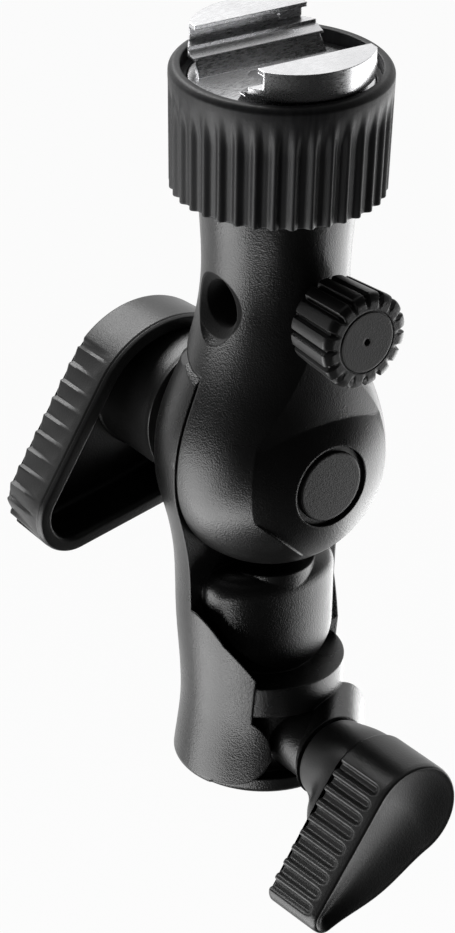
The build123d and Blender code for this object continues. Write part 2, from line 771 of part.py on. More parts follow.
def cam_ring():
    """Metal ring inside the collar with the two spiral slots that drive the jaws."""
    ring = rod_z(collar_bore_radius, cam_foot, cam_top)
    ring -= rod_z(cam_hole_radius, 0, collar_top)
    for direction in (-shoe_yaw, 180 - shoe_yaw):
        ring -= extrude(Plane.XY.offset(cam_foot) * spiral_slot(direction), cam_thickness)
    return ring


def cam_washer():
    """Thin slip washer between the turret and the cam ring."""
    ring = rod_z(turret_radius - slide_gap, turret_top, cam_foot)
    return ring - rod_z(turret_radius - cam_washer_width, 0, collar_top)


def drag_ring():
    """Rubber ring in the turret's groove that gives the collar its drag."""
    middle = turret_radius - drag_ring_section + slide_gap
    return Pos(0, 0, drag_ring_place()) * Torus(middle, drag_ring_section - running_gap)


def along_shoe(piece):
    """Turns a piece from its own directions, X across the shoe, to the shoe's place on the head."""
    return Rot(0, 0, -shoe_yaw) * piece


def guide_plate():
    """Round plate over the cam ring; its two slots keep the jaws on their line."""
    plate = rod_z(turret_radius, guide_foot, guide_top)
    inner = jaw_pin_circle - key_length / 2 - jaw_travel - slide_gap
    outer = jaw_pin_circle + key_length / 2 + slide_gap
    for side in (-1, 1):
        low, high = sorted((side * inner, side * outer))
        plate -= block(low, high, key_width / 2 + slide_gap, guide_foot - overrun, collar_top)
    plate = along_shoe(plate)
    for place in guide_screw_places():
        plate -= place * rod_z(guide_screw_radius + slide_gap, 0, collar_top)
        head = guide_screw_head_height + slide_gap
        plate -= place * rod_z(guide_screw_head_radius + slide_gap, guide_top - head, collar_top)
    return plate


def guide_screws():
    """Screws that hold the guide plate on the turret."""
    screws = []
    for place in guide_screw_places():
        top = guide_top - slide_gap
        head_foot = guide_top - guide_screw_head_height - slide_gap
        shank = rod_z(guide_screw_radius, guide_top - guide_screw_length, head_foot)
        screws.append(place * (shank + rod_z(guide_screw_head_radius, head_foot, top)))
    return Compound(children=screws)


def jaw():
    """Shoe jaw on the +X side in its own directions: lip, groove, ledge, wavy skirt and key."""
    top = collar_top + lip_height
    roof = top - lip_thickness
    floor = roof - groove_height
    web = lip_reach + lip_overhang
    step = collar_top + skirt_step_height
    outline = [
        (lip_reach, top), (lip_reach, roof), (web, roof), (web, floor), (ledge_reach, floor),
        (ledge_reach, (floor + step) / 2), (skirt_step_reach, step), (skirt_reach, guide_top),
        (collar_radius, guide_top), (collar_radius, top),
    ]
    section = make_face(Plane.XZ * Polyline(*outline, close=True))
    body = extrude(section, ledge_length / 2, both=True)
    above = Pos(jaw_arc_shift, 0, 0) * rod_z(jaw_arc_radius, collar_top + loose_gap, top)
    below = Pos(jaw_arc_shift, 0, 0) * rod_z(jaw_foot_radius, guide_top, collar_top + loose_gap)
    body = body & (above + below)
    past_lip = block(0, collar_radius, ledge_length, floor, top)
    body -= past_lip - block(0, collar_radius, lip_length / 2, floor, top)
    key_half = key_length / 2
    body += block(jaw_pin_circle - key_half, jaw_pin_circle + key_half, key_width / 2, guide_foot, guide_top)
    for side in (-1, 1):
        land = block(web - land_proud, web, land_length / 2, floor + land_proud, roof - land_proud)
        body += Pos(0, side * (lip_length - land_length) / 2, 0) * land
    hole = Pos(jaw_pin_circle, 0, 0) * rod_z(jaw_pin_radius, guide_foot - overrun, guide_foot + jaw_pin_hold)
    return body - hole


def jaw_pin():
    """Steel pin of a jaw, down into the cam ring's slot."""
    return Pos(jaw_pin_circle, 0, 0) * rod_z(jaw_pin_radius, cam_foot + loose_gap, guide_foot + jaw_pin_hold)


def other_side(piece):
    """The same piece on the far side of the shoe."""
    return Rot(0, 0, 180) * piece


def build():
    """All nodes by name."""
    return {
        "base_housing": base_housing(),
        "spigot_liner": spigot_liner(),
        "clamp_insert": clamp_insert(),
        "pivot_bushing": pivot_bushing(),
        "friction_ring": friction_ring(),
        "head_housing": head_housing(),
        "bolt_lock_ring": bolt_lock_ring(),
        "umbrella_insert": umbrella_insert(),
        "pivot_cap": pivot_cap(),
        "tilt_bolt": tilt_bolt(),
        "bolt_washer": bolt_washer(),
        "thrust_washer": thrust_washer(),
        "tilt_knob": tilt_knob(),
        "tilt_nut": tilt_nut(),
        "tilt_knob_cap": tilt_knob_cap(),
        "clamp_pad": clamp_pad(),
        "clamp_screw": clamp_screw(),
        "clamp_knob": clamp_knob(),
        "umbrella_pad": umbrella_pad(),
        "umbrella_screw": umbrella_screw(),
        "umbrella_knob": umbrella_knob(),
        "lock_collar": lock_collar(),
        "cam_ring": cam_ring(),
        "cam_washer": cam_washer(),
        "drag_ring": drag_ring(),
        "guide_plate": guide_plate(),
        "guide_screws": guide_screws(),
        "jaw_near": along_shoe(jaw()),
        "jaw_far": along_shoe(other_side(jaw())),
        "jaw_pin_near": along_shoe(jaw_pin()),
        "jaw_pin_far": along_shoe(other_side(jaw_pin())),
    }


os.makedirs("parts", exist_ok=True)
for node_name, shape in build().items():
    export_step(shape, f"parts/{node_name}.step")
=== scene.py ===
import json
import math

import bmesh
import bpy
import numpy as np
from mathutils import Matrix, Vector


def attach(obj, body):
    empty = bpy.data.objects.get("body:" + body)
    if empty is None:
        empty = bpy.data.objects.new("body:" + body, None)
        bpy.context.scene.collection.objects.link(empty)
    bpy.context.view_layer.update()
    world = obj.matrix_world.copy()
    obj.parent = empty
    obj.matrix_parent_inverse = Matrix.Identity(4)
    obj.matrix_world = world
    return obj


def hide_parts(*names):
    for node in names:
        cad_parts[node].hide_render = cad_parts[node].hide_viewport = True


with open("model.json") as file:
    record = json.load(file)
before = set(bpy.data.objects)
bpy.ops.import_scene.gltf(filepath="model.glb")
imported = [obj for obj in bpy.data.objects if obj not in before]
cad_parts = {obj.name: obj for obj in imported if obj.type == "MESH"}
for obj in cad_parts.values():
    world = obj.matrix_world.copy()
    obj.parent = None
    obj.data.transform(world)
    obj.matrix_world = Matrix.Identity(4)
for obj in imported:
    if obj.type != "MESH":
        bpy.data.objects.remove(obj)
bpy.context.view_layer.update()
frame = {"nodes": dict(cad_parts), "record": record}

# Lengths are in millimetres and angles in degrees; MM turns them into Blender's metres.
MM = 0.001

# Camera, solved from the photograph's round outlines
IMAGE_HEIGHT = 933
SENSOR = 36.0
FOCAL_PIXELS = 5000.0
CLIP_END_METRES = 20
CAMERA_TURN, CAMERA_RISE, CAMERA_ROLL = 52.441, 28.069, 1.515
CAMERA_DISTANCE = 1002.5
CAMERA_AIM = (-5.13, -6.67, 66.13)

# Heights shared with the solids
CLAMP_HEIGHT, TILT_HEIGHT, UMBRELLA_HEIGHT, COLLAR_TOP = 10.0, 70.6, 106.4, 154.2

# Surfaces: radii to which closed ends shrink, distance at which points merge, points on an eased
# corner, fewest columns on a stretch of an outline, and a length that stands for none
POINT, FINE_POINT, MERGE = 0.01, 0.001, 0.002
CORNER_STEPS, FEWEST_COLUMNS, TINY = 6, 8, 1e-9

# Flank of a teardrop: turns that count as the same, a run that lies off the flank, and the share of
# the length at either end that belongs to the circles
SAME_TURN, OFF_FLANK, CIRCLE_SHARE = 1e-6, -1e3, 0.001

# In the profiles below, CUTS say how far each corner is eased, and a STEP is the longest stretch
# between two points. CREASE is the angle between faces above which an edge stays sharp.
CREASE, KNOB_CREASE, SMALL_CREASE, THREAD_CREASE = 40, 32, 38, 50

# Collar: drops are measured down from its top edge
COLLAR_RADIUS, COLLAR_FOOT_RADIUS, COLLAR_HEIGHT = 22.0, 21.4, 25.7
COLLAR_BORE, COLLAR_MOUTH, COLLAR_SHELF, COLLAR_RIBS = 18.42, 19.62, 151.32, 36
COLLAR_EDGE_DROP, COLLAR_EDGE_INSET, COLLAR_CUTS = 1.0, 0.8, (0.1, 0.1, 0.2, 0.45, 0.3, 0.5, 0.5, 0.35)
COLLAR_STEP, COLUMNS_PER_RIB = 0.7, 16
RIB_DEPTH, RIB_FADE, RIB_FULL_DROP, RIB_CREST, RIB_HOLLOW = 0.95, 2.4, 10.5, 0.98, 0.25
RIB_INNER, RIB_OUTER = COLLAR_MOUTH + 0.5, COLLAR_FOOT_RADIUS - 0.4

# Large tilt knob: a teardrop shell with a rolled lip, wedge ribs on one flank and a round hub
KNOB_BIG, KNOB_TIP, KNOB_LENGTH, KNOB_SHIFT, KNOB_ANGLE = 20.6, 8.8, 29.4, 4.0, -145.4
KNOB_FACE, KNOB_RIM, KNOB_WALL, KNOB_FLOOR, KNOB_DRAFT = -41.4, -28.0, 3.2, -38.4, 0.6
KNOB_HUB_ROOT, KNOB_HUB, KNOB_HUB_END, KNOB_NECK, KNOB_END = 15.0, 15.6, -20.0, 11.5, -16.42
KNOB_COLUMNS, KNOB_STEP, KNOB_HUB_STEP, KNOB_HUB_CORNER_STEPS = 500, 0.55, 2.5, 5
WEDGE_COUNT, WEDGE_START, WEDGE_PITCH, WEDGE_DEPTH, WEDGE_REACH = 11, -4.2, 3.9, 1.0, 11.0
WEDGE_CREST, WEDGE_KEEP, WEDGE_LEAN, WEDGE_RUNOUT, WEDGE_LEAD = 0.2, 0.97, 0.12, 0.8, (-0.45, -0.1)

# Profile of its shell, as X and inset from the outline
LIP_CREASE = KNOB_RIM - 1.05
SHELL_CORNERS = [
    (KNOB_FACE, 6.0), (KNOB_FACE, 1.3), (KNOB_FACE + 0.45, KNOB_DRAFT), (LIP_CREASE - 0.5, 0.02),
    (LIP_CREASE, 0.3), (LIP_CREASE + 0.15, 0.02), (KNOB_RIM - 0.05, 0.35), (KNOB_RIM, 1.4),
    (KNOB_RIM - 0.05, KNOB_WALL - 0.5), (KNOB_RIM - 0.9, KNOB_WALL), (KNOB_FLOOR, KNOB_WALL + 0.2),
    (KNOB_FLOOR, KNOB_WALL + 2),
]
SHELL_CUTS = (0, 0.5, 0.4, 0.15, 0.12, 0.12, 0.3, 0.5, 0.45, 0.5, 1.2, 0)
RIBBED_INSET, RIBBED_END = 1.6, LIP_CREASE - 0.6

# Profile of its hub, bolt hole, nut pocket and cap recess, as X and radius
BOLT_HOLE, NUT_POCKET, NUT_SEAT = 4.35, 7.7, -28.2
KNOB_CAP_RECESS, KNOB_CAP_SEAT = 8.06, -39.78
KNOB_HUB_CORNERS = [
    (KNOB_FLOOR, KNOB_HUB_ROOT + 0.6), (KNOB_FLOOR + 0.6, KNOB_HUB_ROOT),
    (KNOB_HUB_END - 1.4, KNOB_HUB - 0.25), (KNOB_HUB_END, KNOB_HUB), (KNOB_HUB_END, KNOB_NECK + 0.4),
    (KNOB_HUB_END + 0.3, KNOB_NECK), (KNOB_END, KNOB_NECK), (KNOB_END, BOLT_HOLE), (NUT_SEAT, BOLT_HOLE),
    (NUT_SEAT, NUT_POCKET), (KNOB_CAP_SEAT, NUT_POCKET), (KNOB_CAP_SEAT, KNOB_CAP_RECESS),
    (KNOB_FACE + 0.3, KNOB_CAP_RECESS), (KNOB_FACE, KNOB_CAP_RECESS + 0.3),
]
KNOB_HUB_CUTS = (0.3, 0.3, 0.4, 0.35, 0.2, 0.1, 0.2, 0.1, 0, 0, 0, 0, 0.1, 0)

# Screws: radius and pitch of the thread and span along X; the depth is a share of the pitch
CLAMP_THREAD, CLAMP_PITCH, CLAMP_SPAN = 4.0, 1.25, (11.8, 46.1)
UMBRELLA_THREAD, UMBRELLA_PITCH, UMBRELLA_SPAN = 2.5, 0.8, (7.15, 25.9)
THREAD_DEPTH, THREAD_WALL, ROWS_PER_PITCH, THREAD_COLUMNS = 0.54, (0.1, 0.85), 8, 64

# Clamp knob: a teardrop wing on a hub that leans towards the wing's tip
WING_BIG, WING_TIP, WING_LENGTH, WING_ANGLE, WING_BULGE = 10.7, 3.1, 27.4, -141.4, 1.3
WING_START, WING_FACE, WING_COLUMNS, WING_STEP = 34.6, 50.1, 560, 0.5
HUB_START, HUB_ROOT, HUB_END, HUB_STEP = 23.5, 8.5, 10.1, 1.2
HUB_LEAN, HUB_LEAN_ROOT, HUB_LEAN_POWER = 7.5, HUB_ROOT - 0.2, 0.5
GROOVE_COUNT, GROOVE_START, GROOVE_PITCH, GROOVE_DEPTH = 9, -1.0, 3.4, 0.95
GROOVE_RISE, GROOVE_FALL, GROOVE_TIP = (0.07, 0.3), (0.93, 0.55), 1.1
GROOVE_END = (WING_FACE - 1.9, WING_FACE - 3.3)
DISH_ROWS, DISH_DEPTH, DISH_POWER = 14, 1.3, 1.2

# Profile of its screw hole and hub, as X and radius
SCREW_HOLE, SCREW_HOLE_END = CLAMP_THREAD + 0.03, 46.15
HUB_CORNERS = [
    (SCREW_HOLE_END, POINT), (SCREW_HOLE_END, SCREW_HOLE), (HUB_START, SCREW_HOLE), (HUB_START, HUB_ROOT),
    (WING_START, HUB_END),
]
HUB_CUTS = (0, 0, 0, 0.6, 0)

# Profile of its wing, as X and inset from the outline
WING_CORNERS = [
    (WING_START, 1.2), (WING_START + 0.2, 0.45), (WING_START + 0.7, 0), (WING_FACE - 1.2, 0),
    (WING_FACE - 0.3, 0.15), (WING_FACE, 0.5), (WING_FACE - 0.1, 0.8),
]
WING_CUTS = (0, 0.25, 0.3, 0.25, 0.25, 0.2, 0)

# Umbrella knob: its flutes run on over the rim as notches; its profile is X and radius
FLUTED_START, FLUTED_FACE, FLUTED_BACK_RADIUS, FLUTED_RADIUS = 16.9, 29.3, 9.3, 10.1
FLUTED_STEP, COLUMNS_PER_FLUTE = 0.6, 20
FLUTE_COUNT, FLUTE_DEPTH, FLUTE_WALL, FLUTE_FADE, RIM_FADE = 16, 0.95, (0.03, 0.2), (6.9, 9.4), (7.4, 8.4)
LOBE_DROP, NOTCH_DEPTH, NOTCH_FADE = 0.18, 0.55, (7.0, 9.2)
NOTCH_REACH = (FLUTED_FACE - 1.2, FLUTED_FACE - 0.2)
FLUTED_CORNERS = [
    (FLUTED_START, POINT), (FLUTED_START, FLUTED_BACK_RADIUS), (FLUTED_FACE - 0.9, FLUTED_RADIUS),
    (FLUTED_FACE - 0.15, 8.6), (FLUTED_FACE - 0.1, 6.7), (FLUTED_FACE - 0.22, 6.45), (FLUTED_FACE, 6.2),
    (FLUTED_FACE, 0.75), (FLUTED_FACE - 0.9, 0.5), (FLUTED_FACE - 1.0, POINT),
]
FLUTED_CUTS = (0, 0.6, 0.6, 0.5, 0.1, 0.1, 0.1, 0.12, 0.1, 0)

# Cap in the domed face: back, flange and front along X, radii, and the front's low crown
CAP_BACK, CAP_FLANGE, CAP_FRONT, CAP_FLANGE_RADIUS, CAP_RADIUS = 18.1, 19.1, 19.98, 8.55, 7.4
CAP_CROWN, CAP_CROWN_START, CAP_STEP, CAP_COLUMNS = 0.05, 19.9, 1.2, 160
CAP_CORNERS = [
    (CAP_BACK, POINT), (CAP_BACK, CAP_FLANGE_RADIUS), (CAP_FLANGE, CAP_FLANGE_RADIUS),
    (CAP_FLANGE, CAP_RADIUS), (CAP_FRONT, CAP_RADIUS), (CAP_FRONT, POINT),
]
CAP_CUTS = (0, 0.05, 0.15, 0.1, 0.4, 0)

# Noise and cells: the span of their values that is used, and the cells' softness
NOISE_SPAN, CELL_SMOOTHNESS = (0.3, 0.7), 0.6

# Plastic: fine grain as shares of the cells' waves and relief, broad gloss patches, dull bore
FINE_WAVES, FINE_RELIEF, PATCH_WAVES, PATCH_SPREAD = 1.4, 0.5, 0.06, (-0.05, 0.06)
BORE_MOUTH, BORE_FADE, BORE_ROUGHNESS, EDGE_SAMPLES = 6.95, 0.3, 0.95, 6

# Rubber: tooth and upright streaks, in waves per millimetre, and their relief in millimetres
RUBBER_DARK, RUBBER_PALE, RUBBER_SPECULAR = (0.010, 0.010, 0.011), (0.022, 0.022, 0.023), 0.3
TOOTH_WAVES, STREAK_WAVES, STREAK_STRETCH, RUBBER_RELIEF = 3.0, 0.9, (1, 1, 0.06), 0.03
RUBBER_ROUGHNESS = (0.4, 0.54)

# Metals: waves of the lay and of the broad clouds, spread of roughness, and eased edges
LAY_WAVES, CLOUD_WAVES, LAY_SPREAD, METAL_EDGE = 4.0, 0.12, (-0.06, 0.08), 0.3

# Working materials: spread of roughness, and relief
MOTTLE_SPREAD, MOTTLE_RELIEF = 0.06, 0.02

# Floor, far below the object
FLOOR_HEIGHT, FLOOR_RADIUS, FLOOR_COLUMNS = -420.0, 1800.0, 96
FLOOR_WHITE, FLOOR_COLOR, FLOOR_ROUGHNESS = 0.96, (0.8, 0.8, 0.8, 1), 0.9

# What gloss sees: GLOSS_FRONT on the camera's side, white behind, CEILING overhead. The spans say
# where each begins: as a share of the way to the camera's side, in millimetres of the floor, and as
# a share of the way up. AMBIENT is the light from all round.
GLOSS_FRONT, CEILING, AMBIENT = 0.015, 0.3, 0.08
BEHIND, FLOOR_BEHIND, OVERHEAD = (-0.6, -0.1), (-350, 50), (0.65, 0.95)

# Lamps: turn to the camera's right, rise, distance, width, height and glow; all look at LAMP_AIM
LAMP_AIM = 75
LAMPS = {
    "left_box": (-73, -34, 420, 340, 430, 5.0),
    "low_box": (-27, -43, 305, 150, 90, 6.0),
    "right_box": (121, -32, 420, 580, 270, 2.9),
    "top_box": (-142, 47, 700, 520, 280, 9.0),
}


def place_camera():
    """Camera at the photograph's angle, looking at the aim from a turn and a rise, rolled a little."""
    turn, rise, roll = (math.radians(angle) for angle in (CAMERA_TURN, CAMERA_RISE, CAMERA_ROLL))
    back = Vector((math.sin(turn) * math.cos(rise), -math.cos(turn) * math.cos(rise), math.sin(rise)))
    level = Vector((math.cos(turn), math.sin(turn), 0))
    over = back.cross(level)
    right = math.cos(roll) * level + math.sin(roll) * over
    up = math.cos(roll) * over - math.sin(roll) * level
    lens = bpy.data.cameras.new("camera")
    lens.sensor_width = SENSOR
    lens.lens = FOCAL_PIXELS * SENSOR / IMAGE_HEIGHT
    lens.clip_end = CLIP_END_METRES
    camera = bpy.data.objects.new("camera", lens)
    camera.matrix_world = Matrix((right, up, back)).transposed().to_4x4()
    camera.location = (Vector(CAMERA_AIM) + CAMERA_DISTANCE * back) * MM
    bpy.context.scene.collection.objects.link(camera)
    bpy.context.scene.camera = camera


def direction(turn, rise):
    """Unit vector that leaves the object at a turn from the camera, to its right, and a rise."""
    turn, rise = math.radians(CAMERA_TURN + turn), math.radians(rise)
    return Vector((math.sin(turn) * math.cos(rise), -math.cos(turn) * math.cos(rise), math.sin(rise)))


def smooth(low, high, value):
    """Eased step: 0 below low, 1 above high, and 3t^2 - 2t^3 of the share t between them."""
    share = np.clip((value - low) / (high - low), 0, 1)
    return share * share * (3 - 2 * share)


def rounded(corners, cuts, steps=CORNER_STEPS):
    """Profile through corners whose turns are eased: a quadratic curve cuts each one off by its cut."""
    corners, cuts = np.asarray(corners, float), np.asarray(cuts, float)[:, None, None]
    share = np.linspace(0, 1, steps)[None, :, None]
    sides = []
    for step in (1, -1):
        way = np.roll(corners, step, axis=0) - corners
        way /= np.maximum(np.linalg.norm(way, axis=1), TINY)[:, None]
        sides.append(corners[:, None, :] + way[:, None, :] * cuts)
    middle = corners[:, None, :]
    curve = (1 - share) ** 2 * sides[0] + 2 * share * (1 - share) * middle + share**2 * sides[1]
    return curve.reshape(-1, 2)


def divided(profile, longest):
    """The same profile with more points, so that no stretch of it is longer than stated."""
    steps = np.linalg.norm(np.diff(profile, axis=0), axis=1)
    run = np.concatenate([[0], np.cumsum(steps)])
    stops = np.unique(np.round(np.concatenate([run, np.arange(0, run[-1], longest)]), 6))
    return np.stack([np.interp(stops, run, profile[:, axis]) for axis in (0, 1)], axis=1)


def open_profile(corners, cuts, longest):
    """Eased and divided profile whose two ends, which are not eased, come once each."""
    return divided(rounded(corners, cuts)[CORNER_STEPS - 1:1 - CORNER_STEPS], longest)


def full_circle(count):
    """Turns of a full circle in equal steps, as one row of columns."""
    return np.linspace(0, 2 * np.pi, count, endpoint=False)[None, :]


def skin(name, points, look, body, nodes, ring=False, crease=CREASE):
    """Mesh over a grid of points: columns close round the piece, rows close too where ring is true.

    Point (row, column) joins its neighbours in four-sided faces; points that lie within MERGE of
    each other become one, and every face is turned outwards.
    """
    index = np.arange(points.shape[0] * points.shape[1]).reshape(points.shape[:2])
    above, beside = np.roll(index, -1, axis=0), np.roll(index, -1, axis=1)
    corner = np.roll(above, -1, axis=1)
    faces = np.stack([index, beside, corner, above], axis=-1)
    faces = faces if ring else faces[:-1]
    mesh = bpy.data.meshes.new(name)
    mesh.from_pydata((points.reshape(-1, 3) * MM).tolist(), [], faces.reshape(-1, 4).tolist())
    shell = bmesh.new()
    shell.from_mesh(mesh)
    bmesh.ops.remove_doubles(shell, verts=shell.verts, dist=MERGE * MM)
    bmesh.ops.recalc_face_normals(shell, faces=shell.faces)
    shell.to_mesh(mesh)
    shell.free()
    mesh.shade_smooth()
    mesh.set_sharp_from_angle(angle=math.radians(crease))
    piece = bpy.data.objects.new(name, mesh)
    bpy.context.scene.collection.objects.link(piece)
    mesh.materials.append(looks[look])
    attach(piece, body)
    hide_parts(*nodes)
    return piece


def teardrop(big, tip, length, columns):
    """Columns round a teardrop: anchor on the centre line, radius there and outward direction.

    The big circle sits at 0, the tip circle at length; the flanks are their common tangents, and
    the outline is anchor + radius * outward for every column.
    """
    lean = math.asin((big - tip) / length)
    flank = math.pi / 2 - lean
    straight = length * math.cos(lean)
    total = big * (math.pi + 2 * lean) + tip * (math.pi - 2 * lean) + 2 * straight
    counts = [max(FEWEST_COLUMNS, round(columns * part / total)) for part in
              (tip * (math.pi - 2 * lean), straight, big * (math.pi + 2 * lean), straight)]
    shares = [np.arange(count) / count for count in counts]
    turns = [
        -flank + 2 * flank * shares[0], np.full(counts[1], flank),
        flank + (2 * math.pi - 2 * flank) * shares[2], np.full(counts[3], -flank),
    ]
    along = [np.full(counts[0], 1.0), 1 - shares[1], np.zeros(counts[2]), shares[3]]
    turn, along = np.concatenate(turns), np.concatenate(along)
    radius = big + (tip - big) * along
    outward = np.stack([np.cos(turn), np.sin(turn)], axis=-1)
    anchor = np.stack([along * length, np.zeros_like(along)], axis=-1)
    return anchor, radius, outward


def flank_run(big, tip, length, anchor, outward):
    """Distance along the lower flank from where it leaves the big circle, and on round the tip.

    It is below 0 on the big circle just before the flank, and far below 0 on the upper flank.
    """
    lean = math.asin((big - tip) / length)
    straight = length * math.cos(lean)
    along = anchor[:, 0] / length
    turn = np.arctan2(outward[:, 1], outward[:, 0])
    flank = -(math.pi / 2 - lean)
    on_flank = (outward[:, 1] < 0) & (np.abs(turn - flank) < SAME_TURN)
    past = (turn - flank) * tip
    before = (turn - flank) * big
    run = np.where(on_flank, along * straight, OFF_FLANK)
    run = np.where((along > 1 - CIRCLE_SHARE) & (turn > flank), straight + past, run)
    run = np.where((along < CIRCLE_SHARE) & (turn < flank), before, run)
    return run


def stand(flat, across, angle, height):
    """Points of a knob's own plane, put at their distance along X and turned to the knob's angle."""
    turn = math.radians(angle)
    y = flat[..., 0] * math.cos(turn) - flat[..., 1] * math.sin(turn)
    z = flat[..., 0] * math.sin(turn) + flat[..., 1] * math.cos(turn)
    return np.stack([np.broadcast_to(across, y.shape), y, z + height], axis=-1)


def collar():
    """Turning collar: a ring whose outer wall carries broad hollows between narrow rounded ridges.

    Radius = profile radius - depth * fade * hollow, where hollow is 1 less a narrow peak of the
    turn, and fade grows from 0 just below the top edge to 1 at RIB_FULL_DROP. Only the outer wall
    is cut.
    """
    foot = COLLAR_TOP - COLLAR_HEIGHT
    corners = [
        (COLLAR_MOUTH, COLLAR_SHELF), (COLLAR_BORE, COLLAR_SHELF), (COLLAR_BORE, foot),
        (COLLAR_FOOT_RADIUS, foot), (COLLAR_RADIUS, COLLAR_TOP - RIB_FADE),
        (COLLAR_RADIUS, COLLAR_TOP - COLLAR_EDGE_DROP), (COLLAR_RADIUS - COLLAR_EDGE_INSET, COLLAR_TOP),
        (COLLAR_MOUTH, COLLAR_TOP),
    ]
    profile = rounded(corners, COLLAR_CUTS)
    profile = divided(np.vstack([profile, profile[:1]]), COLLAR_STEP)[:-1]
    turn = full_circle(COLLAR_RIBS * COLUMNS_PER_RIB)
    radius, height = profile[:, :1], profile[:, 1:]
    share = np.abs(np.mod(turn * COLLAR_RIBS / (2 * np.pi), 1) - 0.5) * 2
    hollow = smooth(RIB_CREST, RIB_HOLLOW, share)
    fade = smooth(COLLAR_TOP - RIB_FADE, COLLAR_TOP - RIB_FULL_DROP, height)
    outer = smooth(RIB_INNER, RIB_OUTER, radius)
    radius = radius - RIB_DEPTH * fade * hollow * outer
    height = np.broadcast_to(height, radius.shape)
    points = np.stack([radius * np.cos(turn), radius * np.sin(turn), height], axis=-1)
    return skin("collar", points, "collar_rubber", "collar", ["lock_collar"], ring=True)


def tilt_knob():
    """Hollow teardrop knob: face, ribbed flank, crease, rolled lip, cavity and hub in one profile.

    Each profile row has a distance along X and an inset from the outline; the point is the
    teardrop inset by that much, or for the hub a circle of that radius about the tilt axis. Wedge
    ribs sink the flank in a saw wave along its run, deepest at the outer face.
    """
    anchor, radius, outward = teardrop(KNOB_BIG, KNOB_TIP, KNOB_LENGTH, KNOB_COLUMNS)
    run = flank_run(KNOB_BIG, KNOB_TIP, KNOB_LENGTH, anchor, outward)[None, :]
    anchor = anchor + np.array([KNOB_SHIFT, 0])
    rows = open_profile(SHELL_CORNERS, SHELL_CUTS, KNOB_STEP)
    across, depth = rows[:, :1], rows[:, 1:]
    phase = (run - WEDGE_START) / WEDGE_PITCH
    share = phase - np.floor(phase)
    wedge = np.where(share < WEDGE_CREST, share / WEDGE_CREST, (1 - share) / (1 - WEDGE_CREST))
    inside = smooth(*WEDGE_LEAD, phase) * (phase < WEDGE_COUNT)
    from_face = (across - KNOB_FACE) / WEDGE_REACH
    fade = np.clip(1 - from_face - WEDGE_LEAN * share, 0, 1) ** WEDGE_RUNOUT
    sink = WEDGE_DEPTH * (1 - wedge * WEDGE_KEEP) * fade * inside
    on_wall = (depth < RIBBED_INSET) & (across < RIBBED_END)
    reach = radius[None, :] - depth - sink * on_wall
    flat = anchor[None] + reach[..., None] * outward[None]
    shell = stand(flat, across, KNOB_ANGLE, TILT_HEIGHT)
    outline = anchor + radius[:, None] * outward
    way = outline / np.linalg.norm(outline, axis=1)[:, None]
    inner = divided(rounded(KNOB_HUB_CORNERS, KNOB_HUB_CUTS, KNOB_HUB_CORNER_STEPS), KNOB_HUB_STEP)
    hub = inner[:, 1][:, None, None] * way[None]
    middle = stand(hub, inner[:, :1], KNOB_ANGLE, TILT_HEIGHT)
    points = np.concatenate([shell, middle])
    return skin("tilt_lever_knob", points, "knob_plastic", "tilt_lever", ["tilt_knob"], True, KNOB_CREASE)


def clamp_wing():
    """Clamp knob: screw hole, leaning hub, wing with round-ended grooves on one flank, dished face.

    Hub rows pass from a circle to a short teardrop that leans to the tip; wing rows are the
    teardrop, swelled on its smooth flank, inset by a depth; face rows shrink the teardrop towards
    its centre line while X sinks by a shallow dish.
    """
    anchor, radius, outward = teardrop(WING_BIG, WING_TIP, WING_LENGTH, WING_COLUMNS)
    run = flank_run(WING_BIG, WING_TIP, WING_LENGTH, anchor, outward)[None, :]
    along = anchor[:, 0] / WING_LENGTH
    swelled = radius + WING_BULGE * np.sin(np.pi * along) ** 2 * (outward[:, 1] > 0)
    outline = anchor + radius[:, None] * outward
    way = outline / np.linalg.norm(outline, axis=1)[:, None]
    hub = divided(rounded(HUB_CORNERS, HUB_CUTS), HUB_STEP)
    across, hub_radius = hub[:, :1], hub[:, 1:]
    circle = hub_radius[..., None] * way[None]
    leant_radius = HUB_END - along * HUB_LEAN * (WING_BIG - WING_TIP) / WING_LENGTH
    leant = along[:, None] * np.array([HUB_LEAN, 0]) + leant_radius[:, None] * outward
    share = smooth(HUB_START, WING_START, across) ** HUB_LEAN_POWER
    share = (share * smooth(HUB_LEAN_ROOT, HUB_END, hub_radius))[..., None]
    middle = stand(circle + (leant[None] - circle) * share, across, WING_ANGLE, CLAMP_HEIGHT)
    rows = open_profile(WING_CORNERS, WING_CUTS, WING_STEP)
    across, depth = rows[:, :1], rows[:, 1:]
    phase = (run - GROOVE_START) / GROOVE_PITCH + 0.5
    share = phase - np.floor(phase)
    trough = smooth(*GROOVE_RISE, share) * smooth(*GROOVE_FALL, share)
    inside = (phase > 0) & (phase < GROOVE_COUNT)
    tip_round = GROOVE_TIP * (2 * np.abs(share - 0.5)) ** 2
    cut = smooth(*GROOVE_END, across + tip_round)
    reach = swelled[None, :] - depth - GROOVE_DEPTH * trough * cut * inside
    wing = stand(anchor[None] + reach[..., None] * outward[None], across, WING_ANGLE, CLAMP_HEIGHT)
    share = np.linspace(0, 1, DISH_ROWS + 1)[1:, None]
    rim_across, rim_depth = rows[-1]
    reach = (swelled - rim_depth)[None, :] * (1 - share)
    dish = rim_across - DISH_DEPTH * np.sin(share * np.pi / 2) ** DISH_POWER
    face = stand(anchor[None] + reach[..., None] * outward[None], dish, WING_ANGLE, CLAMP_HEIGHT)
    points = np.concatenate([middle, wing, face])
    return skin("clamp_wing", points, "knob_plastic", "stud_knob", ["clamp_knob"], crease=SMALL_CREASE)


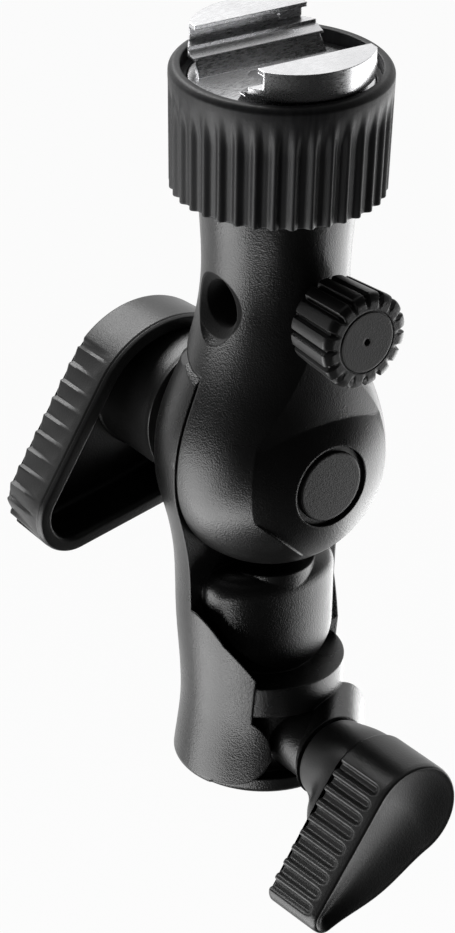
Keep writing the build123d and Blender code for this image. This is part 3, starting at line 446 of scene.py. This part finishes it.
def fluted_knob():
    """Umbrella knob: a cone with narrow grooves between wide lobes, a ringed face and a centre dimple.

    Radius = profile radius - (depth * groove + lobe), where groove is a narrow pulse of the turn
    and lobe a small drop beside it; both fade out on the face inside the faint ring. The face sinks
    by a notch of the same pulse.
    """
    profile = divided(rounded(FLUTED_CORNERS, FLUTED_CUTS), FLUTED_STEP)
    across, radius = profile[:, :1], profile[:, 1:]
    turn = full_circle(FLUTE_COUNT * COLUMNS_PER_FLUTE)
    share = turn * FLUTE_COUNT / (2 * np.pi)
    off = np.abs(share - np.round(share))
    groove = 1 - smooth(*FLUTE_WALL, off)
    lobe = LOBE_DROP * (2 * off - 1) ** 2
    fade = smooth(*FLUTE_FADE, radius) * smooth(*RIM_FADE, radius)
    radius = radius - (FLUTE_DEPTH * groove + lobe) * fade
    across = across - NOTCH_DEPTH * groove * smooth(*NOTCH_FADE, radius) * smooth(*NOTCH_REACH, across)
    points = np.stack([across, radius * np.sin(turn), radius * np.cos(turn) + UMBRELLA_HEIGHT], axis=-1)
    return skin("fluted_knob", points, "knob_plastic", "shaft_knob", ["umbrella_knob"], crease=SMALL_CREASE)


def face_cap():
    """Round cap in the domed face: a low disc with an eased edge on a thin flange.

    X = profile X, and on the front less the crown times the square of the share of the radius.
    """
    profile = divided(rounded(CAP_CORNERS, CAP_CUTS), CAP_STEP)
    turn = full_circle(CAP_COLUMNS)
    across, radius = profile[:, :1], profile[:, 1:]
    across = across - CAP_CROWN * (radius / CAP_RADIUS) ** 2 * (across > CAP_CROWN_START)
    across = np.broadcast_to(across, (len(profile), CAP_COLUMNS))
    points = np.stack([across, radius * np.sin(turn), radius * np.cos(turn) + TILT_HEIGHT], axis=-1)
    return skin("face_cap", points, "knob_plastic", "head", ["pivot_cap"], crease=SMALL_CREASE)


def threaded(name, span, radius, pitch, height, body, node):
    """Threaded rod along X, which narrows to the thread's root at both ends.

    Radius = thread radius - depth * (1 - crest), where crest is a rounded saw of X / pitch less
    the share of the turn, and fades out within one pitch of the ends.
    """
    start, end = span
    across = np.linspace(start, end, int((end - start) / pitch * ROWS_PER_PITCH))[:, None]
    turn = full_circle(THREAD_COLUMNS)
    share = across / pitch - turn / (2 * np.pi)
    saw = np.abs(2 * (share - np.floor(share)) - 1)
    fade = smooth(start, start + pitch, across) * smooth(end, end - pitch, across)
    bar = radius - THREAD_DEPTH * pitch * (1 - smooth(*THREAD_WALL, saw) * fade)
    tip = np.full_like(bar[:1], FINE_POINT)
    rim = np.concatenate([tip, bar, tip])
    across = np.broadcast_to(np.concatenate([across[:1], across, across[-1:]]), rim.shape)
    points = np.stack([across, rim * np.sin(turn), rim * np.cos(turn) + height], axis=-1)
    return skin(name, points, "steel", body, [node], crease=THREAD_CREASE)


def nodes_of(name):
    """New material with its node tree, its shader and the place in the object's own space."""
    material = bpy.data.materials.new(name)
    material.use_nodes = True
    tree = material.node_tree
    shader = tree.nodes["Principled BSDF"]
    coordinates = tree.nodes.new("ShaderNodeTexCoord")
    return material, tree, shader, coordinates.outputs["Object"]


def noise(tree, place, waves, detail, roughness=0.5):
    """Noise over a place, with a number of waves per millimetre."""
    node = tree.nodes.new("ShaderNodeTexNoise")
    node.inputs["Scale"].default_value = waves / MM
    node.inputs["Detail"].default_value = detail
    node.inputs["Roughness"].default_value = roughness
    tree.links.new(place, node.inputs["Vector"])
    return node.outputs["Fac"]


def cells(tree, place, waves):
    """Rounded cells over a place, as in a moulded leather grain, with so many per millimetre."""
    node = tree.nodes.new("ShaderNodeTexVoronoi")
    node.feature = "SMOOTH_F1"
    node.inputs["Scale"].default_value = waves / MM
    node.inputs["Smoothness"].default_value = CELL_SMOOTHNESS
    tree.links.new(place, node.inputs["Vector"])
    return node.outputs["Distance"]


def stretch(tree, place, shares):
    """The same place with its axes scaled, so that a pattern runs long along one of them."""
    node = tree.nodes.new("ShaderNodeMapping")
    node.inputs["Scale"].default_value = shares
    tree.links.new(place, node.inputs["Vector"])
    return node.outputs["Vector"]


def ramp(tree, value, low, high, span=NOISE_SPAN):
    """Value carried from a span to the range from low to high, and held at the two ends."""
    node = tree.nodes.new("ShaderNodeMapRange")
    for name, number in zip(("From Min", "From Max", "To Min", "To Max"), (*span, low, high)):
        node.inputs[name].default_value = number
    tree.links.new(value, node.inputs["Value"])
    return node.outputs["Result"]


def math_node(tree, operation, first, second):
    """One calculation with two values, each a number or another node's output."""
    node = tree.nodes.new("ShaderNodeMath")
    node.operation = operation
    for slot, value in zip(node.inputs, (first, second)):
        if isinstance(value, (int, float)):
            slot.default_value = value
        else:
            tree.links.new(value, slot)
    return node.outputs["Value"]


def blend_values(tree, share, first, second):
    """First value where the share is 0 and second where it is 1."""
    node = tree.nodes.new("ShaderNodeMix")
    tree.links.new(share, node.inputs["Factor"])
    for slot, value in (("A", first), ("B", second)):
        if isinstance(value, (int, float)):
            node.inputs[slot].default_value = value
        else:
            tree.links.new(value, node.inputs[slot])
    return node.outputs["Result"]


def blend_colors(tree, share, first, second):
    """First colour where the share is 0 and second where it is 1."""
    node = tree.nodes.new("ShaderNodeMix")
    node.data_type = "RGBA"
    node.inputs["A"].default_value = (*first, 1)
    node.inputs["B"].default_value = (*second, 1)
    tree.links.new(share, node.inputs["Factor"])
    return node.outputs["Result"]


def bump(tree, height, depth, under=None):
    """Relief of a depth in millimetres, laid over another normal where one is given."""
    node = tree.nodes.new("ShaderNodeBump")
    node.inputs["Distance"].default_value = depth * MM
    node.inputs["Strength"].default_value = 1.0
    tree.links.new(height, node.inputs["Height"])
    if under is not None:
        tree.links.new(under, node.inputs["Normal"])
    return node.outputs["Normal"]


def eased_edges(tree, radius):
    """Normal that is rounded over the piece's sharp edges by a radius in millimetres."""
    node = tree.nodes.new("ShaderNodeBevel")
    node.inputs["Radius"].default_value = radius * MM
    node.samples = EDGE_SAMPLES
    return node.outputs["Normal"]


def in_bore(tree, place):
    """1 in the umbrella bore and its mouths and 0 elsewhere, by the distance from the bore's axis."""
    node = tree.nodes.new("ShaderNodeVectorMath")
    node.operation = "MULTIPLY_ADD"
    node.inputs[1].default_value = (1, 0, 1)
    node.inputs[2].default_value = (0, 0, -UMBRELLA_HEIGHT * MM)
    tree.links.new(place, node.inputs[0])
    length = tree.nodes.new("ShaderNodeVectorMath")
    length.operation = "LENGTH"
    tree.links.new(node.outputs["Vector"], length.inputs[0])
    return ramp(tree, length.outputs["Value"], 1.0, 0.0, ((BORE_MOUTH - BORE_FADE) * MM, BORE_MOUTH * MM))


def grained_plastic(name, dark, pale, roughness, grain, relief, edge=None):
    """Moulded black plastic: cell grain over eased edges, patchy gloss, and a dull umbrella bore."""
    material, tree, shader, place = nodes_of(name)
    links = tree.links
    broad = noise(tree, place, PATCH_WAVES, detail=4)
    fine = noise(tree, place, grain * FINE_WAVES, detail=4, roughness=0.6)
    color = blend_colors(tree, ramp(tree, fine, 0, 1), (dark,) * 3, (pale,) * 3)
    links.new(color, shader.inputs["Base Color"])
    polish = ramp(tree, broad, roughness + PATCH_SPREAD[0], roughness + PATCH_SPREAD[1])
    links.new(blend_values(tree, in_bore(tree, place), polish, BORE_ROUGHNESS), shader.inputs["Roughness"])
    normal = eased_edges(tree, edge) if edge else None
    normal = bump(tree, cells(tree, place, grain), relief, normal)
    normal = bump(tree, fine, relief * FINE_RELIEF, normal)
    links.new(normal, shader.inputs["Normal"])
    return material


def collar_rubber():
    """Dull dark grey rubber with a fine tooth and faint upright streaks from its mould."""
    material, tree, shader, place = nodes_of("collar_rubber")
    links = tree.links
    tooth = noise(tree, place, TOOTH_WAVES, detail=4, roughness=0.65)
    streak = noise(tree, stretch(tree, place, STREAK_STRETCH), STREAK_WAVES, detail=3)
    color = blend_colors(tree, ramp(tree, streak, 0, 1), RUBBER_DARK, RUBBER_PALE)
    links.new(color, shader.inputs["Base Color"])
    links.new(ramp(tree, tooth, *RUBBER_ROUGHNESS), shader.inputs["Roughness"])
    shader.inputs["Specular IOR Level"].default_value = RUBBER_SPECULAR
    normal = bump(tree, tooth, RUBBER_RELIEF)
    links.new(bump(tree, streak, RUBBER_RELIEF, normal), shader.inputs["Normal"])
    return material


def satin_metal(name, dark, pale, roughness, lay, relief=0.006):
    """Metal with a faint lay along one axis: its gloss and relief follow one stretched noise."""
    material, tree, shader, place = nodes_of(name)
    links = tree.links
    shader.inputs["Metallic"].default_value = 1.0
    lines = noise(tree, stretch(tree, place, lay), LAY_WAVES, detail=4, roughness=0.6)
    broad = noise(tree, place, CLOUD_WAVES, detail=3)
    links.new(blend_colors(tree, ramp(tree, broad, 0, 1), dark, pale), shader.inputs["Base Color"])
    spread = ramp(tree, lines, roughness + LAY_SPREAD[0], roughness + LAY_SPREAD[1])
    links.new(spread, shader.inputs["Roughness"])
    links.new(bump(tree, lines, relief, eased_edges(tree, METAL_EDGE)), shader.inputs["Normal"])
    return material


def mottled(name, dark, pale, roughness, waves):
    """Plain working material with mottled colour and tooth, for rings and liners."""
    material, tree, shader, place = nodes_of(name)
    links = tree.links
    speck = noise(tree, place, waves, detail=4, roughness=0.6)
    links.new(blend_colors(tree, ramp(tree, speck, 0, 1), dark, pale), shader.inputs["Base Color"])
    spread = ramp(tree, speck, roughness - MOTTLE_SPREAD, roughness + MOTTLE_SPREAD)
    links.new(spread, shader.inputs["Roughness"])
    links.new(bump(tree, speck, MOTTLE_RELIEF), shader.inputs["Normal"])
    return material


looks = {
    "black_plastic": grained_plastic(
        "black_plastic", 0.003, 0.007, roughness=0.29, grain=3.1, relief=0.04, edge=0.5),
    "knob_plastic": grained_plastic("knob_plastic", 0.005, 0.010, roughness=0.38, grain=2.6, relief=0.02),
    "collar_rubber": collar_rubber(),
    "silver_metal": satin_metal(
        "silver_metal", (0.66, 0.66, 0.67), (0.74, 0.74, 0.75), roughness=0.27, lay=(1, 0.15, 1),
        relief=0.002),
    "steel": satin_metal("steel", (0.42, 0.42, 0.43), (0.55, 0.55, 0.56), roughness=0.3, lay=(0.2, 1, 1)),
    "brass": satin_metal("brass", (0.62, 0.46, 0.2), (0.74, 0.56, 0.27), roughness=0.32, lay=(0.2, 1, 1)),
    "liner_metal": satin_metal(
        "liner_metal", (0.5, 0.5, 0.51), (0.62, 0.62, 0.63), roughness=0.34, lay=(1, 1, 0.15)),
    "friction_fibre": mottled(
        "friction_fibre", (0.16, 0.11, 0.07), (0.28, 0.2, 0.13), roughness=0.8, waves=1.2),
    "slip_plastic": mottled("slip_plastic", (0.6, 0.6, 0.58), (0.7, 0.7, 0.68), roughness=0.45, waves=0.8),
    "drag_rubber": mottled("drag_rubber", (0.012,) * 3, (0.022,) * 3, roughness=0.6, waves=2.0),
}


def dress_nodes():
    """Gives every carried-over solid the material of its slot in the record."""
    slots = {part["node"]: part["material_slot"] for part in frame["record"]["subparts"]}
    for node, piece in frame["nodes"].items():
        piece.data.materials.clear()
        piece.data.materials.append(looks[slots[node]])


def camera_side(tree, place):
    """How far a place lies towards the camera's side, along the level direction to the camera."""
    node = tree.nodes.new("ShaderNodeVectorMath")
    node.operation = "DOT_PRODUCT"
    node.inputs[1].default_value = direction(0, 0)
    tree.links.new(place, node.inputs[0])
    return node.outputs["Value"]


def seen_plainly(tree, path):
    """1 for rays from the camera and for those that passed through something clear, else 0."""
    return math_node(tree, "MAXIMUM", path.outputs["Is Camera Ray"], path.outputs["Is Transmission Ray"])


def studio():
    """White surroundings for the camera; gloss sees white behind, a grey ceiling and a dark front."""
    world = bpy.data.worlds.new("studio")
    bpy.context.scene.world = world
    world.use_nodes = True
    tree = world.node_tree
    nodes, links = tree.nodes, tree.links
    path, place = nodes.new("ShaderNodeLightPath"), nodes.new("ShaderNodeTexCoord").outputs["Generated"]
    behind = ramp(tree, camera_side(tree, place), 1.0, GLOSS_FRONT, BEHIND)
    apart = nodes.new("ShaderNodeSeparateXYZ")
    links.new(place, apart.inputs[0])
    overhead = ramp(tree, apart.outputs["Z"], GLOSS_FRONT, CEILING, OVERHEAD)
    mirrored = math_node(tree, "MAXIMUM", behind, overhead)
    seen = blend_values(tree, path.outputs["Is Glossy Ray"], AMBIENT, mirrored)
    background = nodes["Background"]
    background.inputs["Color"].default_value = (1, 1, 1, 1)
    links.new(blend_values(tree, seen_plainly(tree, path), seen, 1.0), background.inputs["Strength"])


def floor():
    """Round pale floor far below: nearly white to the camera, and in gloss white behind the object."""
    turn = full_circle(FLOOR_COLUMNS)[0]
    ring = np.stack([np.cos(turn), np.sin(turn), np.full_like(turn, FLOOR_HEIGHT / FLOOR_RADIUS)], axis=-1)
    mesh = bpy.data.meshes.new("floor")
    mesh.from_pydata((ring * FLOOR_RADIUS * MM).tolist(), [], [list(range(FLOOR_COLUMNS))])
    piece = bpy.data.objects.new("floor", mesh)
    bpy.context.scene.collection.objects.link(piece)
    material, tree, shader, place = nodes_of("floor")
    nodes, links = tree.nodes, tree.links
    shader.inputs["Base Color"].default_value = FLOOR_COLOR
    shader.inputs["Roughness"].default_value = FLOOR_ROUGHNESS
    shader.inputs["Specular IOR Level"].default_value = 0.0
    glow, mix = nodes.new("ShaderNodeEmission"), nodes.new("ShaderNodeMixShader")
    path = nodes.new("ShaderNodeLightPath")
    gloss = path.outputs["Is Glossy Ray"]
    behind = ramp(tree, camera_side(tree, place), 1.0, GLOSS_FRONT, [edge * MM for edge in FLOOR_BEHIND])
    links.new(blend_values(tree, gloss, 1.0, behind), glow.inputs["Strength"])
    seen = math_node(tree, "MAXIMUM", seen_plainly(tree, path), gloss)
    links.new(math_node(tree, "MULTIPLY", seen, FLOOR_WHITE), mix.inputs["Fac"])
    links.new(shader.outputs["BSDF"], mix.inputs[1])
    links.new(glow.outputs["Emission"], mix.inputs[2])
    links.new(mix.outputs["Shader"], nodes["Material Output"].inputs["Surface"])
    mesh.materials.append(material)


def softbox(name, turn, rise, distance, width, height, glow):
    """Rectangular lamp that faces LAMP_AIM; its power is its glow times pi times its area."""
    data = bpy.data.lights.new(name, "AREA")
    data.shape = "RECTANGLE"
    data.size, data.size_y = width * MM, height * MM
    data.energy = glow * math.pi * width * height * MM * MM
    lamp = bpy.data.objects.new(name, data)
    way = direction(turn, rise)
    lamp.location = (Vector((0, 0, LAMP_AIM)) + way * distance) * MM
    lamp.rotation_euler = way.to_track_quat("Z", "Y").to_euler()
    bpy.context.scene.collection.objects.link(lamp)


place_camera()
studio()
floor()
for lamp_name, lamp_values in LAMPS.items():
    softbox(lamp_name, *lamp_values)
dress_nodes()
collar()
tilt_knob()
clamp_wing()
fluted_knob()
face_cap()
threaded("clamp_thread", CLAMP_SPAN, CLAMP_THREAD, CLAMP_PITCH, CLAMP_HEIGHT, "stud_knob", "clamp_screw")
threaded(
    "umbrella_thread", UMBRELLA_SPAN, UMBRELLA_THREAD, UMBRELLA_PITCH, UMBRELLA_HEIGHT, "shaft_knob",
    "umbrella_screw")
bpy.context.scene.view_settings.view_transform = "Standard"
